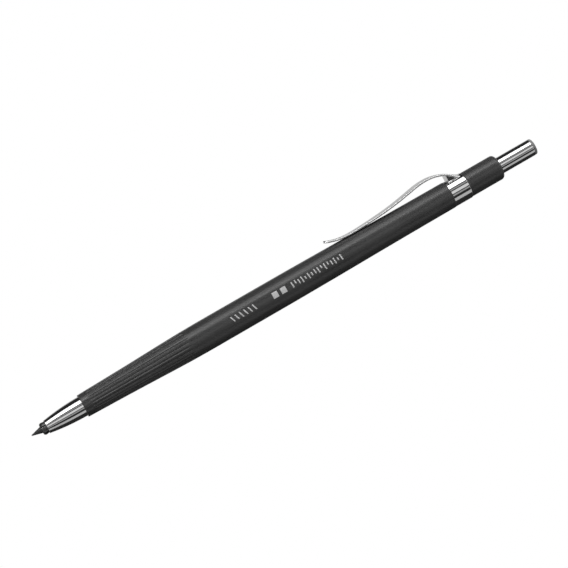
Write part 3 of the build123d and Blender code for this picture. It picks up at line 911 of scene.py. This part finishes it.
coil_rows = []
total_turns = 2 * CLOSED_TURNS + OPEN_TURNS
coil_steps = round(total_turns * STEPS_PER_TURN)
for step in range(coil_steps + 1):
    turns = total_turns * step / coil_steps
    angle = tau * turns
    outwards = Vector((0, cos(angle), sin(angle)))
    centre = Vector((spring_start + WIRE + coil_advance(turns), 0, 0)) + outwards * spring_mean
    coil_rows.append([
        tuple(centre + outwards * WIRE * cos(tau * side / WIRE_SIDES)
              + Vector((1, 0, 0)) * WIRE * sin(tau * side / WIRE_SIDES))
        for side in range(WIRE_SIDES)
    ])
spring_coil = skin("spring_coil", coil_rows, SPRING_SHARP)
dress(spring_coil, STEEL, "spring_steel", "barrel", "return_spring")
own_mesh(spring_coil)


# ---------------------------------------------------------------- inner pieces that keep their CAD shape

for node, material, slot in (
    ("collet_body", NICKEL_DARKENED_AS_SHADE, "dark_nickel"),
    ("lead_tube", BRASS, "brass"),
    ("front_bush", BRASS, "brass"),
    ("spring_washer", STEEL, "spring_steel"),
    ("spring_collar", BRASS, "brass"),
    ("rear_bush", BRASS, "brass"),
    ("tube_guide", WHITE_PLASTIC, "white_plastic"),
    ("button_grip", WHITE_PLASTIC, "white_plastic"),
    ("lead_pointer", BRASS, "brass"),
    ("pointer_blades", STEEL, "spring_steel"),
):
    dress(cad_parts[node], material, slot)


# ---------------------------------------------------------------- camera

CAMERA_AZIMUTH = radians(-11)
CAMERA_ELEVATION = radians(7)
PHOTO_ROLL = radians(28.6)
CAMERA_DISTANCE = 640
VIEW_WIDTH = 141.5
AIM = Vector((68.85, 0, 1.31))

back = Vector((
    sin(CAMERA_AZIMUTH) * cos(CAMERA_ELEVATION),
    -cos(CAMERA_AZIMUTH) * cos(CAMERA_ELEVATION),
    sin(CAMERA_ELEVATION),
))
camera_data = bpy.data.cameras.new("camera")
camera = show(bpy.data.objects.new("camera", camera_data))
camera_data.lens = camera_data.sensor_width * CAMERA_DISTANCE / VIEW_WIDTH
camera_data.clip_start = 0.01
camera_data.clip_end = 10
facing = back.to_track_quat("Z", "Y").to_matrix().to_4x4()
camera.matrix_world = (
    Matrix.Translation((AIM + back * CAMERA_DISTANCE) * MM) @ facing @ Matrix.Rotation(-PHOTO_ROLL, 4, "Z")
)
bpy.context.scene.camera = camera


# ---------------------------------------------------------------- studio

# Softboxes on a ring that turns about the pencil's axis to face the camera: (angle above the camera, height
# of the box as an angle, brightness)
SOFTBOX_DISTANCE = 450
SOFTBOX_LENGTH = 3600
SOFTBOXES = (
    (58, 36, 1.7),
    (50, 6, 3.0),
    (25, 11, 0.28),
    (0, 22, 0.64),
    (-25, 12, 0.3),
    (-66, 27, 0.42),
    (162, 44, 0.5),
)

softbox_ring = show(bpy.data.objects.new("softbox_ring", None))
softbox_ring.location = (cad_box[0] + cad_box[1]) / 2
towards = softbox_ring.constraints.new("LOCKED_TRACK")
towards.target = camera
towards.track_axis = "TRACK_Z"
towards.lock_axis = "LOCK_X"
for index, (angle, height, brightness) in enumerate(SOFTBOXES):
    light = bpy.data.lights.new(f"softbox_{index}", "AREA")
    light.shape = "RECTANGLE"
    light.size = SOFTBOX_LENGTH * MM
    light.size_y = 2 * SOFTBOX_DISTANCE * tan(radians(height / 2)) * MM
    light.energy = brightness * pi * light.size * light.size_y
    softbox = show(bpy.data.objects.new(light.name, light))
    softbox.parent = softbox_ring
    place = Vector((0, sin(radians(angle)), cos(radians(angle))))
    softbox.location = place * SOFTBOX_DISTANCE * MM
    softbox.rotation_euler = (-radians(angle), 0, 0)
    softbox.visible_camera = False

# The room behind the softboxes is dark beside the pencil and lighter beyond its ends.
ROOM_LEVELS = (0.02, 0.16)
ROOM_ENDS = (0.3, 0.75)

world = bpy.data.worlds.new("studio")
bpy.context.scene.world = world
world.use_nodes = True
tree = world.node_tree
tree.nodes.clear()
output = tree.nodes.new("ShaderNodeOutputWorld")
choose = tree.nodes.new("ShaderNodeMixShader")
seen = tree.nodes.new("ShaderNodeLightPath")
heading = tree.nodes.new("ShaderNodeTexCoord")
parts = tree.nodes.new("ShaderNodeSeparateXYZ")
sideways = tree.nodes.new("ShaderNodeMath")
sideways.operation = "ABSOLUTE"
level = tree.nodes.new("ShaderNodeMapRange")
level.interpolation_type = "SMOOTHSTEP"
for socket, value in zip(("From Min", "From Max", "To Min", "To Max"), ROOM_ENDS + ROOM_LEVELS):
    level.inputs[socket].default_value = value
room = tree.nodes.new("ShaderNodeBackground")
room.inputs["Color"].default_value = grey(1.0)
backdrop = tree.nodes.new("ShaderNodeBackground")
backdrop.inputs["Color"].default_value = grey(1.0)
tree.links.new(heading.outputs["Generated"], parts.inputs[0])
tree.links.new(parts.outputs["X"], sideways.inputs[0])
tree.links.new(sideways.outputs[0], level.inputs["Value"])
tree.links.new(level.outputs[0], room.inputs["Strength"])
tree.links.new(seen.outputs["Is Camera Ray"], choose.inputs[0])
tree.links.new(room.outputs[0], choose.inputs[1])
tree.links.new(backdrop.outputs[0], choose.inputs[2])
tree.links.new(choose.outputs[0], output.inputs["Surface"])

FLOOR_SIZE = 4.0
floor_mesh = bpy.data.meshes.new("floor")
half = FLOOR_SIZE / 2
floor_mesh.from_pydata(
    [(-half, -half, 0), (half, -half, 0), (half, half, 0), (-half, half, 0)], [], [(0, 1, 2, 3)]
)
floor = show(bpy.data.objects.new("floor", floor_mesh))
floor.location = (cad_box[0].x, 0, cad_box[0].z)
paper = bpy.data.materials.new("white_paper")
paper.use_nodes = True
tree = paper.node_tree
tree.nodes.clear()
output = tree.nodes.new("ShaderNodeOutputMaterial")
choose = tree.nodes.new("ShaderNodeMixShader")
underneath = tree.nodes.new("ShaderNodeNewGeometry")
lit = tree.nodes.new("ShaderNodeEmission")
clear = tree.nodes.new("ShaderNodeBsdfTransparent")
tree.links.new(underneath.outputs["Backfacing"], choose.inputs[0])
tree.links.new(lit.outputs[0], choose.inputs[1])
tree.links.new(clear.outputs[0], choose.inputs[2])
tree.links.new(choose.outputs[0], output.inputs["Surface"])
floor_mesh.materials.append(paper)
floor.visible_diffuse = False
floor.visible_glossy = False
floor.visible_shadow = False

bpy.context.scene.view_settings.view_transform = "Standard"
